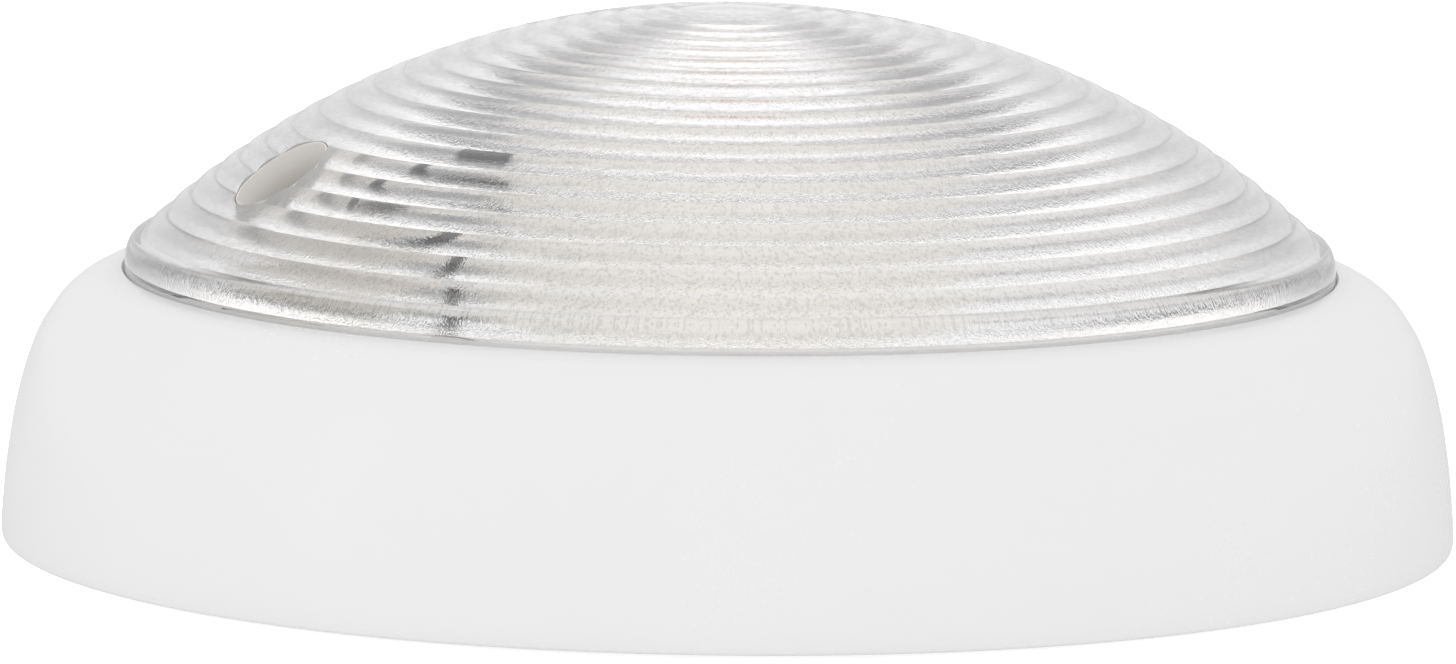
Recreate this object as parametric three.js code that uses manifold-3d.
// Ceiling horn strobe: a round white housing with a clear dome lens.
// Three groups: the base (mounting plate and field wiring terminals), the head that twists
// onto it, and the cover (housing, lens and retainer) that lifts off the head.
// Millimetres, +Z up (out of the ceiling or wall), origin at the centre of the mounting
// plate's back face. Suffixes: _R radius, _A angle in degrees, _T thickness, _Z0 and _Z1
// lower and upper height.
import * as THREE from 'three';
import { mergeVertices } from 'three/addons/utils/BufferGeometryUtils.js';
import Module from 'manifold-3d';

const wasm = await Module();
wasm.setup();
const { Manifold, Mesh: ManifoldMesh } = wasm;

// --------------------------------------------------------- shared dimensions
const SEG = 48;                 // facets round the big turned parts
const GAP = 0.3;                // standing gap between touching pieces
const SINK = 0.5;               // how far an added feature sinks into its parent
const CUT = 1;                  // how far a cutter runs past the piece

const rad = (degrees) => (degrees * Math.PI) / 180;
const polar = (r, degrees) => [r * Math.cos(rad(degrees)), r * Math.sin(rad(degrees))];

// bayonet joint between plate and chassis
const BAYONET_A = [30, 150, 270];

// levels and radii of the stacked parts in the head
const CHASSIS_R = 79.6, CHASSIS_Z0 = 12, CHASSIS_Z1 = 14;
const BOARD_R = 63.5, BOARD_Z0 = 17.0, BOARD_Z1 = 18.6;
const BEZEL_R = 66.5, BEZEL_Z0 = 27.0, BEZEL_Z1 = 28.5;
const UNDER_BOARD_Z = BOARD_Z0 - GAP;
const ON_BOARD_Z = BOARD_Z1 + GAP;
const ON_BEZEL_Z = BEZEL_Z1 + GAP;

// fixings
const LEGS = [100, 250, 340].map((angle) => polar(57, angle));
const LEG_R = 3.4;
const COVER_SCREW_PITCH_R = 76, COVER_SCREW_A = [45, 135, 225, 315];
const SCREW_HOLE_R = 1.9;

// terminals: pitch along x, screw row and blade row in y
const TERM_PITCH = 14;
const TERM_X = [-1.5, -0.5, 0.5, 1.5].map((step) => step * TERM_PITCH);
const TERM_Y = 29, BLADE_Y = 42;

// selector centres
const CANDELA = [0, -41], DIAL = [25, -34];

// parts that pass through the bezel or reflector
const HORN = [-43.2, -18.4], HORN_R = 16.0;
const CAPACITOR = [-33, 22], CAPACITOR_R = 9.0;
const TUBE_LEAD_X = 16.0;
const TRIGGER = [0, 5.2];

// sound port through the lens, its axis square to the surface
const PORT = new THREE.Vector3(-52.7, -22.5, 46.4);
const PORT_AXIS = new THREE.Vector3(-0.513, -0.219, 0.83).normalize();

// light engine cable, each path a list of [x, y, z]: the lead rises from the board and bends
// over, the thin core loops on to the sleeve, the tail runs into the side of the reflector
const LEAD_R = 0.8;
const LEAD_PATH = [
  [-31.4, -45.4, 18.9], [-31.4, -45.4, 24.0], [-31.4, -45.4, 30.0],
  [-31.4, -45.4, 34.6], [-31.4, -45.3, 37.0], [-32.1, -44.7, 39.3],
  [-34.8, -42.9, 41.2], [-38.8, -40.0, 42.1], [-42.4, -36.8, 42.0],
];
const CORE_PATH = [
  [-41.9, -37.3, 42.0], [-42.6, -36.5, 42.1], [-43.2, -35.0, 42.9], [-41.8, -34.4, 44.2],
  [-38.6, -35.0, 45.6], [-35.6, -35.3, 46.8], [-32.8, -35.55, 47.6],
];
const SLEEVE_START = [-33.4, -35.5, 47.5], SLEEVE_END = [-25.4, -36.0, 48.4];
const TAIL_OUT = [-19.7, -22.3, 44.9], TAIL_IN = [-16.4, -17.2, 41.6];
const TAIL_PATH = [
  [-24.9, -35.9, 48.4], [-22.6, -31.8, 47.8], [-20.8, -26.2, 46.5],
  TAIL_OUT, [-18.0, -19.8, 43.2], TAIL_IN,
];
const [LEAD_X, LEAD_Y] = LEAD_PATH[0];

// ----------------------------------------------------------------- materials
const finish = (settings) =>
  new THREE.MeshStandardMaterial({ metalness: 0, flatShading: true, ...settings });

const WHITE = finish({ color: 0xededec, roughness: 0.32 });
const CLEAR = finish({ color: 0xe9ebf2, roughness: 0.06, transparent: true, opacity: 0.35 });
const OFFWHITE = finish({ color: 0xdedcd6, roughness: 0.45 });
const CREAM = finish({ color: 0xece7dd, roughness: 0.4 });
const BEIGE = finish({ color: 0xbfb8ae, roughness: 0.55 });
const BLACK = finish({ color: 0x17181a, roughness: 0.4 });
const GREY = finish({ color: 0x8d8f92, roughness: 0.5 });
const GREEN = finish({ color: 0x1d5a38, roughness: 0.45 });
const RUBBER = finish({ color: 0x6d6e70, roughness: 0.8 });
const RED = finish({ color: 0xa31f1f, roughness: 0.5 });
const BRASS = finish({ color: 0xc4a34f, roughness: 0.3, metalness: 1 });
const STEEL = finish({ color: 0xb9bcc0, roughness: 0.3, metalness: 1 });
const TIN = finish({ color: 0xd0d2d4, roughness: 0.35, metalness: 1 });
const COPPER = finish({ color: 0xb06a3a, roughness: 0.35, metalness: 1 });

// ------------------------------------------------------------- solid helpers
const UP = new THREE.Vector3(0, 0, 1);
const vector = (point) => new THREE.Vector3(...point);

// closed three.js geometry to a Manifold solid
function solid(geometry) {
  const bare = geometry.clone();
  bare.deleteAttribute('normal');
  bare.deleteAttribute('uv');
  const merged = mergeVertices(bare, 1e-4);
  const index = merged.index.array;
  const triangles = [];
  for (let i = 0; i < index.length; i += 3) {
    const [a, b, c] = index.subarray(i, i + 3);
    if (a !== b && b !== c && a !== c) triangles.push(a, b, c);
  }
  // a profile drawn the other way round gives faces that point in: turn them
  const positions = new Float32Array(merged.attributes.position.array);
  const corner = (i) => new THREE.Vector3().fromArray(positions, triangles[i] * 3);
  let volume = 0;
  for (let i = 0; i < triangles.length; i += 3) {
    volume += corner(i).dot(corner(i + 1).cross(corner(i + 2)));
  }
  if (volume < 0) {
    for (let i = 0; i < triangles.length; i += 3) {
      [triangles[i], triangles[i + 1]] = [triangles[i + 1], triangles[i]];
    }
  }
  return new Manifold(new ManifoldMesh({
    numProp: 3, vertProperties: positions, triVerts: new Uint32Array(triangles),
  }));
}

// named mesh from a solid
function node(name, body, material, position = [0, 0, 0]) {
  const { vertProperties, triVerts } = body.getMesh();
  const geometry = new THREE.BufferGeometry();
  geometry.setAttribute('position', new THREE.BufferAttribute(new Float32Array(vertProperties), 3));
  geometry.setIndex(new THREE.BufferAttribute(new Uint32Array(triVerts), 1));
  geometry.computeVertexNormals();
  const mesh = new THREE.Mesh(geometry, material);
  mesh.name = name;
  mesh.position.set(...position);
  return mesh;
}

// named mesh whose own origin and +Z lie on the sound port
function portNode(name, body, material) {
  const mesh = node(name, body, material, PORT.toArray());
  mesh.quaternion.setFromUnitVectors(UP, PORT_AXIS);
  return mesh;
}

// turned part from a [radius, height] profile, axis +Z; a profile that does not
// start and end on the axis is closed back to its first point
function turned(profile, seg = SEG) {
  const points = profile.map(([r, z]) => new THREE.Vector2(r, z));
  const onAxis = profile[0][0] === 0 && profile.at(-1)[0] === 0;
  if (!onAxis) points.push(points[0].clone());
  return solid(new THREE.LatheGeometry(points, seg).rotateX(Math.PI / 2));
}
const disc = (r, z0, z1, seg) => turned([[0, z0], [r, z0], [r, z1], [0, z1]], seg);
const ring = (r0, r1, z0, z1, seg = SEG) =>
  turned([[r0, z0], [r1, z0], [r1, z1], [r0, z1]], seg);

// box between limits
function box(x0, x1, y0, y1, z0, z1) {
  const geometry = new THREE.BoxGeometry(x1 - x0, y1 - y0, z1 - z0);
  return solid(geometry.translate((x0 + x1) / 2, (y0 + y1) / 2, (z0 + z1) / 2));
}
// box centred on x, y
const block = (x, y, length, width, z0, z1) =>
  box(x - length / 2, x + length / 2, y - width / 2, y + width / 2, z0, z1);

// cone geometry along +Z, centred on the origin
const cone = (topR, bottomR, length, seg) =>
  new THREE.CylinderGeometry(topR, bottomR, length, seg).rotateX(Math.PI / 2);
// upright cylinder at x, y
const pin = (x, y, r, z0, z1, seg) =>
  solid(cone(r, r, z1 - z0, seg).translate(x, y, (z0 + z1) / 2));
const screwHole = (x, y, z0, z1) => pin(x, y, SCREW_HOLE_R, z0, z1, 10);
// cylinder along X, centred on x at height z
const bar = (x, z, r, length, seg) =>
  solid(new THREE.CylinderGeometry(r, r, length, seg).rotateZ(Math.PI / 2).translate(x, 0, z));

// geometry made along +Z, carried to a point and a direction
function aimed(geometry, point, direction) {
  geometry.applyQuaternion(new THREE.Quaternion().setFromUnitVectors(UP, direction));
  return solid(geometry.translate(point.x, point.y, point.z));
}

function polygon(points) {
  const shape = new THREE.Shape(points.map(([x, y]) => new THREE.Vector2(x, y)));
  shape.closePath();
  return shape;
}

// sector of a ring, centred on an angle
function sector(r0, r1, z0, z1, angle, arc, steps = 4) {
  const outer = [], inner = [];
  for (let i = 0; i <= steps; i++) {
    const at = angle - arc / 2 + (arc * i) / steps;
    outer.push(polar(r1, at));
    inner.unshift(polar(r0, at));
  }
  const shape = polygon([...outer, ...inner]);
  const geometry = new THREE.ExtrudeGeometry(shape, { depth: z1 - z0, bevelEnabled: false });
  return solid(geometry.translate(0, 0, z0));
}

// round-ended slot along an angle
function slot(x, y, length, width, angle, z0, z1) {
  const r = width / 2, reach = length / 2 - r;
  const shape = new THREE.Shape();
  shape.moveTo(-reach, -r);
  shape.lineTo(reach, -r);
  shape.absarc(reach, 0, r, -Math.PI / 2, Math.PI / 2, false);
  shape.lineTo(-reach, r);
  shape.absarc(-reach, 0, r, Math.PI / 2, (3 * Math.PI) / 2, false);
  const settings = { depth: z1 - z0, bevelEnabled: false, curveSegments: 4 };
  const geometry = new THREE.ExtrudeGeometry(shape, settings);
  return solid(geometry.rotateZ(rad(angle)).translate(x, y, z0));
}

// round wire along a smooth path
function wire(path, r, sides, steps) {
  const extrudePath = new THREE.CatmullRomCurve3(path.map(vector), false, 'centripetal');
  const section = polygon(Array.from({ length: sides }, (_, i) => polar(r, (i * 360) / sides)));
  return solid(new THREE.ExtrudeGeometry(section, { steps, bevelEnabled: false, extrudePath }));
}

// screw driven upward through the chassis, slotted head below
function chassisScrew({ headR, headZ, slotZ, tipZ }) {
  return pin(0, 0, headR, headZ, CHASSIS_Z0 - GAP, 12)
    .add(pin(0, 0, 1.5, 11.5, tipZ, 8))
    .subtract(block(0, 0, 4.4, 0.8, headZ - CUT, slotZ));
}

// ------------------------------------------------------------ mounting plate
const PLATE_R = 80, PLATE_T = 2.2;
const RIM_WIDTH = 1.6, RIM_Z1 = 3.6;
const WIRE_HOLE_R = 20, WIRE_HOLE_Y = -4;
const BOX_SLOT_IN = 41, BOX_SLOT_OUT = 46, BOX_SLOT_W = 4.6;  // end centres of the slots' span
const HUB_IN = 61.5, HUB_R = 63.9, HUB_Z1 = 7.0;
const FLANGE_R = 66.8, FLANGE_Z0 = 5.2, FLANGE_Z1 = 6.8, FLANGE_ARC = 20;
const STOP_ARC = 2;

function mountingPlate() {
  let plate = disc(PLATE_R, 0, PLATE_T, SEG)
    .add(ring(HUB_IN, HUB_R, PLATE_T - SINK, HUB_Z1));
  for (const angle of BAYONET_A) {
    // flange with an end stop at its locking side
    const stopA = angle - (FLANGE_ARC + STOP_ARC) / 2;
    plate = plate
      .add(sector(HUB_R - 1, FLANGE_R, FLANGE_Z0, FLANGE_Z1, angle, FLANGE_ARC))
      .add(sector(HUB_R - 1, FLANGE_R, PLATE_T - SINK, FLANGE_Z1, stopA, STOP_ARC, 1));
  }
  plate = plate
    .add(ring(PLATE_R - RIM_WIDTH, PLATE_R, PLATE_T - SINK, RIM_Z1))
    .subtract(pin(0, WIRE_HOLE_Y, WIRE_HOLE_R, -CUT, PLATE_T + CUT, 32));
  const length = BOX_SLOT_OUT - BOX_SLOT_IN + BOX_SLOT_W;
  for (const angle of [0, 90, 180, 270]) {
    const [x, y] = polar((BOX_SLOT_IN + BOX_SLOT_OUT) / 2, angle);
    plate = plate.subtract(slot(x, y, length, BOX_SLOT_W, angle, -CUT, PLATE_T + CUT));
  }
  return plate;
}

// ----------------------------------------------------- field wiring terminals
const TERM_LENGTH = 59, TERM_WIDTH = 15, TERM_FLOOR_Z1 = 5.5;
const BARRIER_T = 1.5, BARRIER_Z0 = 5.0, BARRIER_Z1 = 9.4;
const TERM_HOLE_R = 2.0, TERM_HOLE_Z0 = 2.9;
const STRIP_Z0 = TERM_FLOOR_Z1 + GAP, STRIP_Z1 = STRIP_Z0 + 0.8, STRIP_W = 7.0;
const CLAMP_SIZE = 8.4, CLAMP_Z0 = STRIP_Z1 + GAP, CLAMP_Z1 = 7.7;

const terminalHole = (x, z0, z1) => pin(x, TERM_Y, TERM_HOLE_R, z0, z1, 10);

// floor with a barrier at each end and between terminals
function terminalBlock() {
  const endX = (TERM_LENGTH - BARRIER_T) / 2;
  let body = block(0, TERM_Y, TERM_LENGTH, TERM_WIDTH, PLATE_T + GAP, TERM_FLOOR_Z1);
  for (const x of [-endX, -TERM_PITCH, 0, TERM_PITCH, endX]) {
    body = body.add(block(x, TERM_Y, BARRIER_T, TERM_WIDTH, BARRIER_Z0, BARRIER_Z1));
  }
  for (const x of TERM_X) {
    body = body.subtract(terminalHole(x, TERM_HOLE_Z0, TERM_FLOOR_Z1 + CUT));
  }
  return body;
}

// flat under the clamp, then a leaf that rises to meet the head's blade
function terminalStrip(x) {
  const side = polygon([                 // [y, z]
    [TERM_Y - 6.5, STRIP_Z0], [TERM_Y + 8.5, STRIP_Z0],
    [BLADE_Y - 1.0, 8.7], [BLADE_Y + 2.5, 8.7], [BLADE_Y + 4.5, 6.5],
    [BLADE_Y + 4.5, 7.6], [BLADE_Y + 2.8, 9.5], [BLADE_Y - 1.4, 9.5],
    [TERM_Y + 8.1, STRIP_Z1], [TERM_Y - 6.5, STRIP_Z1],
  ]);
  const geometry = new THREE.ExtrudeGeometry(side, { depth: STRIP_W, bevelEnabled: false });
  // shape plane becomes (y, z), extrusion runs along x
  geometry.applyMatrix4(new THREE.Matrix4().set(
    0, 0, 1, x - STRIP_W / 2,
    1, 0, 0, 0,
    0, 1, 0, 0,
    0, 0, 0, 1,
  ));
  return solid(geometry).subtract(terminalHole(x, STRIP_Z0 - CUT, STRIP_Z1 + CUT));
}

const terminalClamp = (x) =>
  block(x, TERM_Y, CLAMP_SIZE, CLAMP_SIZE, CLAMP_Z0, CLAMP_Z1)
    .subtract(terminalHole(x, CLAMP_Z0 - CUT, CLAMP_Z1 + CUT));

// flat head with a driver slot on a plain shank
const terminalScrew = (x) =>
  pin(x, TERM_Y, 3.3, CLAMP_Z1 + GAP, 9.4, 12)
    .add(pin(x, TERM_Y, 1.6, 3.2, 8.2, 8))
    .subtract(block(x, TERM_Y, 4.8, 0.8, 8.8, 10));

// ------------------------------------------------------------------- chassis
const COLLAR_IN = 67.5, COLLAR_R = 70, COLLAR_Z0 = 3.0;
const UPSTAND_IN = 67.8, UPSTAND_R = 69.6, UPSTAND_Z1 = 22;
const LUG_IN = 64.5, LUG_Z0 = 3.2, LUG_Z1 = 4.8, LUG_ARC = 17;

function chassis() {
  const cutZ0 = CHASSIS_Z0 - CUT, cutZ1 = CHASSIS_Z1 + CUT;
  let body = disc(CHASSIS_R, CHASSIS_Z0, CHASSIS_Z1, SEG)
    .add(ring(COLLAR_IN, COLLAR_R, COLLAR_Z0, CHASSIS_Z0 + SINK));
  for (const angle of BAYONET_A) {
    body = body.add(sector(LUG_IN, COLLAR_IN + 0.6, LUG_Z0, LUG_Z1, angle, LUG_ARC));
  }
  body = body.add(ring(UPSTAND_IN, UPSTAND_R, CHASSIS_Z1 - SINK, UPSTAND_Z1));
  for (const [x, y] of LEGS) {
    body = body.add(pin(x, y, LEG_R, CHASSIS_Z1 - SINK, UNDER_BOARD_Z, 12))
      .subtract(screwHole(x, y, cutZ0, UNDER_BOARD_Z + CUT));
  }
  for (const angle of COVER_SCREW_A) {
    body = body.subtract(screwHole(...polar(COVER_SCREW_PITCH_R, angle), cutZ0, cutZ1));
  }
  // openings for the contact blades, the candela slider and the tone dial
  for (const x of TERM_X) body = body.subtract(block(x, BLADE_Y, 6.2, 1.8, cutZ0, cutZ1));
  return body.subtract(block(...CANDELA, 16.4, 4, cutZ0, cutZ1))
    .subtract(pin(...DIAL, 4.6, cutZ0, cutZ1, 24));
}

// L-shaped blade: foot under the chassis, stem up to the board
const BLADE_T = 0.8, BLADE_HALF_W = 2.6, BLADE_Z0 = 9.9;

function contactBlade(x) {
  const x0 = x - BLADE_HALF_W, x1 = x + BLADE_HALF_W, y0 = BLADE_Y - BLADE_T / 2;
  const foot = box(x0, x1, y0, BLADE_Y + 4.0, BLADE_Z0, BLADE_Z0 + BLADE_T);
  const stem = box(x0, x1, y0, BLADE_Y + BLADE_T / 2, BLADE_Z0, UNDER_BOARD_Z);
  return foot.add(stem);
}

// ----------------------------------------------------- circuit board and bezel
function circuitBoard() {
  let board = disc(BOARD_R, BOARD_Z0, BOARD_Z1, 40);
  for (const [x, y] of LEGS) {
    board = board.subtract(screwHole(x, y, BOARD_Z0 - CUT, BOARD_Z1 + CUT));
  }
  return board;
}

const BEZEL_WALL = 1.5, BEZEL_SKIRT_Z0 = BOARD_Z1 + 0.6;
const BEZEL_HOLES = [                    // x, y, radius, facets
  [...HORN, HORN_R + 0.45, 28],
  [...CAPACITOR, CAPACITOR_R + 0.45, 20],
  [-TUBE_LEAD_X, 0, 1.2, 10],
  [TUBE_LEAD_X, 0, 1.2, 10],
  [...TRIGGER, 1.0, 10],
  [LEAD_X, LEAD_Y, LEAD_R + 0.5, 14],
];

function innerBezel() {
  let bezel = disc(BEZEL_R, BEZEL_Z0, BEZEL_Z1, 40)
    .add(ring(BEZEL_R - BEZEL_WALL, BEZEL_R, BEZEL_SKIRT_Z0, BEZEL_Z0 + SINK, 40));
  for (const [x, y] of LEGS) {
    // the screw holes stop short of the bezel's face
    bezel = bezel.add(pin(x, y, LEG_R, ON_BOARD_Z, BEZEL_Z0 + SINK, 12))
      .subtract(screwHole(x, y, 18, 26));
  }
  for (const [x, y, r, seg] of BEZEL_HOLES) {
    bezel = bezel.subtract(pin(x, y, r, BEZEL_Z0 - CUT, BEZEL_Z1 + CUT, seg));
  }
  return bezel;
}

// ---------------------------------------------------- reflector and flash tube
const REFLECTOR_FOOT_R = 30.5, REFLECTOR_RIM_R = 25.0, REFLECTOR_Z1 = 50.0;
const DISH_Z = 37.0, DISH_R = REFLECTOR_RIM_R - 1.2;
const DISH_UNDER_Z = DISH_Z - 2.2, DISH_UNDER_R = REFLECTOR_RIM_R - 2.9;
const DISH_UNDER_RISE = REFLECTOR_Z1 - 3.6 - DISH_UNDER_Z;
const TUBE_Z = 46.6, TUBE_R = 2.4, TUBE_HALF = 11.6;
const TUBE_CAP_R = 2.9, TUBE_CAP_END = 15.0;
const TRIGGER_COIL_Z1 = 25.9;

// tapered tower with a dish in its top
function reflector() {
  const dish = [0, 1, 2, 3, 4].map((i) =>
    [DISH_R * (i / 4), DISH_Z + (REFLECTOR_Z1 - DISH_Z) * (i / 4) ** 2]);
  const underside = [4, 2, 0].map((i) =>
    [DISH_UNDER_R * (i / 4), DISH_UNDER_Z + DISH_UNDER_RISE * (i / 4) ** 1.7]);
  // up the dish, over the rim, down the outer wall and back underneath
  let body = turned([
    ...dish,
    [REFLECTOR_RIM_R, REFLECTOR_Z1], [REFLECTOR_RIM_R + 0.9, REFLECTOR_Z1 - 2.0],
    [REFLECTOR_FOOT_R, ON_BEZEL_Z], [REFLECTOR_FOOT_R - 1.6, ON_BEZEL_Z],
    [REFLECTOR_RIM_R - 0.9, REFLECTOR_Z1 - 4.5],
    ...underside,
  ], 36);
  const holes = [[-TUBE_LEAD_X, 0, 1.1], [TUBE_LEAD_X, 0, 1.1], [...TRIGGER, 0.9]];
  for (const [x, y, r] of holes) {
    body = body.subtract(pin(x, y, r, DISH_UNDER_Z - CUT, REFLECTOR_Z1 + CUT, 10));
  }
  // side bore for the cable's tail
  const way = vector(TAIL_IN).sub(vector(TAIL_OUT)).normalize();
  const boreCentre = vector(TAIL_OUT).addScaledVector(way, 2.6);
  return body.subtract(aimed(cone(1.15, 1.15, 9, 12), boreCentre, way));
}

function lightEngine() {
  const parts = [
    node('reflector', reflector(), CREAM),
    node('flash_tube', bar(0, TUBE_Z, TUBE_R, 2 * TUBE_HALF, 20), CLEAR),
  ];
  const capStart = TUBE_HALF + GAP;
  for (const [sign, side] of [[-1, 'left'], [1, 'right']]) {
    const capX = (sign * (TUBE_CAP_END + capStart)) / 2;
    const cap = bar(capX, TUBE_Z, TUBE_CAP_R, TUBE_CAP_END - capStart, 20);
    const lead = pin(sign * TUBE_LEAD_X, 0, 0.6, ON_BOARD_Z, TUBE_Z + 0.8, 10);
    parts.push(node(`tube_cap_${side}`, cap, TIN), node(`tube_lead_${side}`, lead, TIN));
  }
  // trigger lead stands beside the tube, its coil is on the board
  const triggerLead = pin(...TRIGGER, 0.45, TRIGGER_COIL_Z1 + GAP, TUBE_Z + 0.5, 10);
  const triggerCoil = pin(...TRIGGER, 4.2, ON_BOARD_Z, TRIGGER_COIL_Z1, 20);
  parts.push(
    node('trigger_lead', triggerLead, COPPER),
    node('trigger_coil', triggerCoil, COPPER),
  );
  return parts;
}

// ---------------------------------------------------------- board components
const CAPACITOR_H = 27.0;
const CAPACITOR_PROFILE = [              // [radius, height above the board gap]
  [0, 0], [CAPACITOR_R - 0.8, 0], [CAPACITOR_R, 0.8],
  [CAPACITOR_R, 2.2], [CAPACITOR_R - 0.5, 2.8], [CAPACITOR_R, 3.4],
  [CAPACITOR_R, CAPACITOR_H - 0.8], [CAPACITOR_R - 0.9, CAPACITOR_H], [0, CAPACITOR_H],
];
const INDUCTOR_PROFILE = [               // [radius, height above the board gap]
  [0, 0], [7.5, 0], [7.5, 1.2], [5.8, 1.2], [5.8, 6.0], [7.5, 6.0], [7.5, 7.2], [0, 7.2],
];

function boardComponents() {
  const capacitor = turned(CAPACITOR_PROFILE, 20);
  const inductor = turned(INDUCTOR_PROFILE, 16);
  const chip = box(34, 44, -24, -14, ON_BOARD_Z, 20.7);
  const transistor = box(16, 26, 32, 38.5, ON_BOARD_Z, 21.4);
  return [
    node('main_capacitor', capacitor, BLACK, [...CAPACITOR, ON_BOARD_Z]),
    node('inductor', inductor, GREY, [40, 12, ON_BOARD_Z]),
    node('controller_chip', chip, BLACK),
    node('power_transistor', transistor, BLACK),
  ];
}

// ------------------------------------------------------------------- sounder
const CHAMBER_H = 8.0;
const CHAMBER_PROFILE = [                // [radius, height above the board gap]
  [0, 0], [HORN_R, 0], [HORN_R, CHAMBER_H], [HORN_R - 1.4, CHAMBER_H], [HORN_R - 1.4, 3.4],
  [HORN_R - 3.2, 3.4], [HORN_R - 3.2, 1.3], [0, 1.3],
];
const MOUTH_DEPTH = 5.9;                 // throat mouth below PORT, along PORT_AXIS
const HORN_CAP_Z0 = ON_BOARD_Z + CHAMBER_H + GAP, HORN_CAP_Z1 = HORN_CAP_Z0 + 1.6;

// open cup with a cable notch on its +X side
const hornChamber = () =>
  turned(CHAMBER_PROFILE, 28).subtract(box(8, 18, -1.2, 1.2, 3.9, 9));

// cap with the flared throat that leads to the port in the lens
function hornThroat() {
  const reach = (PORT.z - HORN_CAP_Z1) / PORT_AXIS.z;
  const length = reach - MOUTH_DEPTH + 1.4;
  const centre = PORT.clone().addScaledVector(PORT_AXIS, -MOUTH_DEPTH - length / 2);
  return pin(...HORN, HORN_R, HORN_CAP_Z0, HORN_CAP_Z1, 28)
    .add(aimed(cone(9.2, 6.6, length, 20), centre, PORT_AXIS))
    .subtract(aimed(cone(6.1, 3.6, length + 8, 20), centre, PORT_AXIS))
    // trim the throat flush with the underside of the cap
    .subtract(box(-80, 0, -60, 10, 20, HORN_CAP_Z0));
}

// lead from the board up into the chamber's cable notch
function sounderLead(offsetY) {
  const y = HORN[1] + offsetY;
  const path = [[-23.6, y, ON_BOARD_Z], [-23.6, y, 22.0], [-24.3, y, 24.2], [-27.2, y, 24.6]];
  return wire(path, 0.38, 6, 6);
}

function sounder() {
  const seat = [...HORN, ON_BOARD_Z];
  const seal = ring(HORN_R - 3.4, HORN_R - 1.8, 3.7, 4.3, 20);
  return [
    node('horn_chamber', hornChamber(), BEIGE, seat),
    node('sounder_gasket', seal, RUBBER, seat),
    node('piezo_disc', disc(HORN_R - 1.8, 4.6, 4.9, 20), BRASS, seat),
    node('horn_throat', hornThroat(), BEIGE),
    portNode('throat_gasket', ring(6.9, 9.0, -5.6, -4.8, 20), RUBBER),
    node('sounder_lead_1', sounderLead(-0.55), RED),
    node('sounder_lead_2', sounderLead(0.55), BLACK),
  ];
}

// -------------------------------------------------------- light engine cable
const BOOT_PROFILE = [                   // [radius, z]
  [1.15, ON_BEZEL_Z], [2.6, ON_BEZEL_Z], [2.6, 30.0], [1.9, 30.6], [1.65, 34.4], [1.15, 34.4],
];

// lead, core and the sleeve that widens towards its end
function strobeLead() {
  const start = vector(SLEEVE_START), end = vector(SLEEVE_END);
  const sleeve = cone(1.8, 0.6, start.distanceTo(end), 12);
  const way = end.clone().sub(start).normalize();
  return wire(LEAD_PATH, LEAD_R, 8, 36)
    .add(wire(CORE_PATH, 0.4, 6, 24))
    .add(aimed(sleeve, start.clone().lerp(end, 0.5), way));
}

const leadBoot = () => turned(BOOT_PROFILE, 24).translate([LEAD_X, LEAD_Y, 0]);

// ----------------------------------------------------------------- selectors
const SWITCH_Z0 = 14.4, KNOB_Z1 = 16.4;

const candelaSwitch = () =>
  block(...CANDELA, 24, 8, SWITCH_Z0, UNDER_BOARD_Z)
    .subtract(block(...CANDELA, 16.8, 3.6, SWITCH_Z0 - CUT, UNDER_BOARD_Z + CUT));

// knob with three grooves across its underside
function candelaSlider() {
  const [x, y] = CANDELA;
  let knob = block(x, y, 5.2, 2.8, 10.0, KNOB_Z1);
  for (const offset of [-1.25, 0, 1.25]) {
    knob = knob.subtract(block(x + offset, y, 0.5, 4, 9, 10.5));
  }
  return knob;
}

const toneSwitch = () =>
  block(...DIAL, 12, 12, SWITCH_Z0, UNDER_BOARD_Z)
    .subtract(pin(...DIAL, 4.5, SWITCH_Z0 - CUT, UNDER_BOARD_Z + CUT, 24));

const toneDial = () =>
  pin(...DIAL, 4.1, 11.0, KNOB_Z1, 24).subtract(block(...DIAL, 6.4, 1.0, 10, 12));

// ------------------------------------------------------------- skirt housing
const SKIRT_OUTER = [                    // [radius, z], bottom to top
  [85.5, 0.3], [86.2, 1.3], [85.9, 7.0], [84.67, 15.5], [82.81, 22.4],
  [80.66, 26.7], [79.3, 28.6], [77.6, 30.1], [75.0, 31.4], [71.95, 32.0],
];
const SKIRT_INNER = [                    // [radius, z], top to bottom
  [71.95, 29.4], [76.0, 29.4], [78.1, 26.3], [80.3, 21.6], [82.1, 15.2], [83.7, 0.3],
];
const BOSS_R = 3.8, BOSS_Z0 = CHASSIS_Z1 + GAP, BOSS_Z1 = 26.2;
const WEB_LENGTH = 4.2, WEB_T = 1.8, WEB_Z1 = 20;

// web that ties a boss to the wall
function bossWeb(angle) {
  const geometry = new THREE.BoxGeometry(WEB_LENGTH, WEB_T, WEB_Z1 - BOSS_Z0);
  geometry.translate(COVER_SCREW_PITCH_R + 3.5, 0, (WEB_Z1 + BOSS_Z0) / 2);
  return solid(geometry.rotateZ(rad(angle)));
}

function skirtHousing() {
  let skirt = turned([...SKIRT_OUTER, ...SKIRT_INNER]);
  for (const angle of COVER_SCREW_A) {
    const [x, y] = polar(COVER_SCREW_PITCH_R, angle);
    const boss = pin(x, y, BOSS_R, BOSS_Z0, BOSS_Z1, 12).add(bossWeb(angle));
    skirt = skirt.add(boss).subtract(screwHole(x, y, 13, 25));
  }
  return skirt;
}

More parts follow.
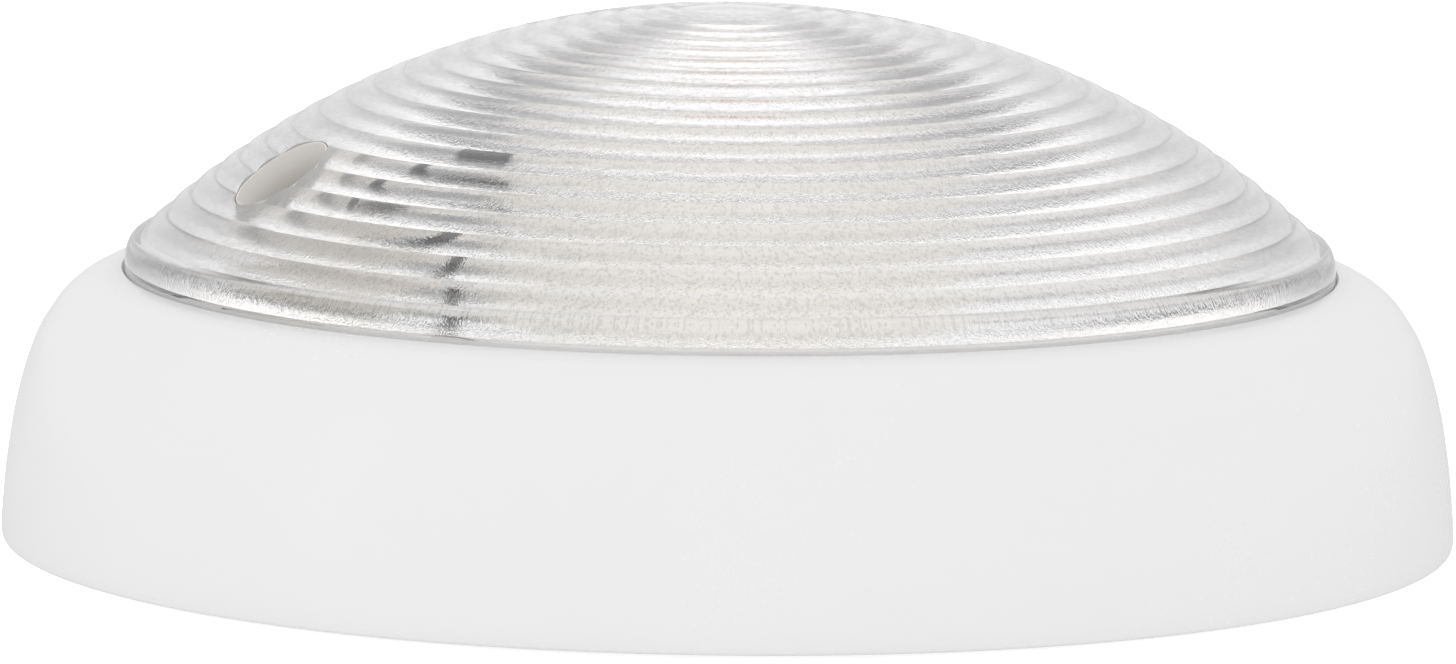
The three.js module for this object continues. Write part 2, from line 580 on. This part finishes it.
// ---------------------------------------------------------------------- lens
// an ellipse of revolution above a smooth rim and neck
const DOME_R = 96.1, DOME_HEIGHT = 86.96, APEX_Z = 63.57;  // ellipse half-axes, top
const DOME_EDGE_R = 70.2, DOME_STEPS = 7;
const LENS_T = 2.7;
const PORT_HOLE_R = 6.5;
const RETAINER_Z1 = 28.1, ON_RETAINER_Z = RETAINER_Z1 + GAP;
const LENS_RIM = [                       // [radius, z], down the outside, up the inside
  [71.3, 35.2], [72.0, 34.2], [72.0, 32.9], [71.5, 32.5],
  [71.5, ON_RETAINER_Z], [68.7, ON_RETAINER_Z], [68.7, 33.4],
];
const PORT_LINER = [                     // [radius, height along the port axis]
  [5.5, -4.5], [9.0, -4.5], [9.0, -3.8], [6.2, -3.4], [6.2, -0.5], [5.5, -0.5],
];

function lens() {
  const outer = [], inner = [];
  const edgeAngle = Math.asin(DOME_EDGE_R / DOME_R);
  for (let i = 0; i <= DOME_STEPS; i++) {
    const t = (edgeAngle * i) / DOME_STEPS;
    const r = DOME_R * Math.sin(t), z = APEX_Z - DOME_HEIGHT * (1 - Math.cos(t));
    // the inside is set in along the normal
    const normalR = DOME_HEIGHT * Math.sin(t), normalZ = DOME_R * Math.cos(t);
    const scale = LENS_T / Math.hypot(normalR, normalZ);
    outer.push([r, z]);
    inner.unshift([r - scale * normalR, z - scale * normalZ]);
  }
  return turned([...outer, ...LENS_RIM, ...inner])
    .subtract(aimed(cone(PORT_HOLE_R, PORT_HOLE_R, 16, 24), PORT, PORT_AXIS));
}

// ------------------------------------------------------------------ assembly
const base = new THREE.Group();
base.add(
  node('mounting_plate', mountingPlate(), OFFWHITE),
  node('terminal_block', terminalBlock(), BLACK),
);
TERM_X.forEach((x, i) => base.add(
  node(`terminal_strip_${i + 1}`, terminalStrip(x), BRASS),
  node(`terminal_clamp_${i + 1}`, terminalClamp(x), STEEL),
  node(`terminal_screw_${i + 1}`, terminalScrew(x), STEEL),
));

const head = new THREE.Group();
head.add(node('chassis', chassis(), OFFWHITE));
TERM_X.forEach((x, i) => head.add(node(`contact_blade_${i + 1}`, contactBlade(x), BRASS)));
head.add(
  node('circuit_board', circuitBoard(), GREEN),
  node('inner_bezel', innerBezel(), OFFWHITE),
);
LEGS.forEach(([x, y], i) => {
  const screw = chassisScrew({ headR: 3.0, headZ: 9.8, slotZ: 10.4, tipZ: 25 });
  head.add(node(`bezel_screw_${i + 1}`, screw, STEEL, [x, y, 0]));
});
head.add(
  ...lightEngine(),
  ...boardComponents(),
  ...sounder(),
  node('strobe_lead', strobeLead(), BLACK),
  node('lead_boot', leadBoot(), WHITE),
  node('strobe_tail', wire(TAIL_PATH, 0.6, 6, 20), WHITE),
  node('candela_switch', candelaSwitch(), GREY),
  node('candela_slider', candelaSlider(), WHITE),
  node('tone_switch', toneSwitch(), GREY),
  node('tone_dial', toneDial(), WHITE),
);
COVER_SCREW_A.forEach((angle, i) => {
  const screw = chassisScrew({ headR: 3.1, headZ: 9.6, slotZ: 10.3, tipZ: 24 });
  const position = [...polar(COVER_SCREW_PITCH_R, angle), 0];
  head.add(node(`cover_screw_${i + 1}`, screw, STEEL, position));
});

const cover = new THREE.Group();
cover.add(
  node('skirt_housing', skirtHousing(), WHITE),
  node('lens', lens(), CLEAR),
  portNode('port_collar', turned(PORT_LINER, 28), BEIGE),
  node('lens_gasket', ring(72.0, 75.2, ON_RETAINER_Z, 29.1, 40), RUBBER),
  node('lens_retainer', ring(68.5, 75.5, 26.6, RETAINER_Z1, 40), WHITE),
);

const part = new THREE.Group();
part.add(base, head, cover);
export default part;
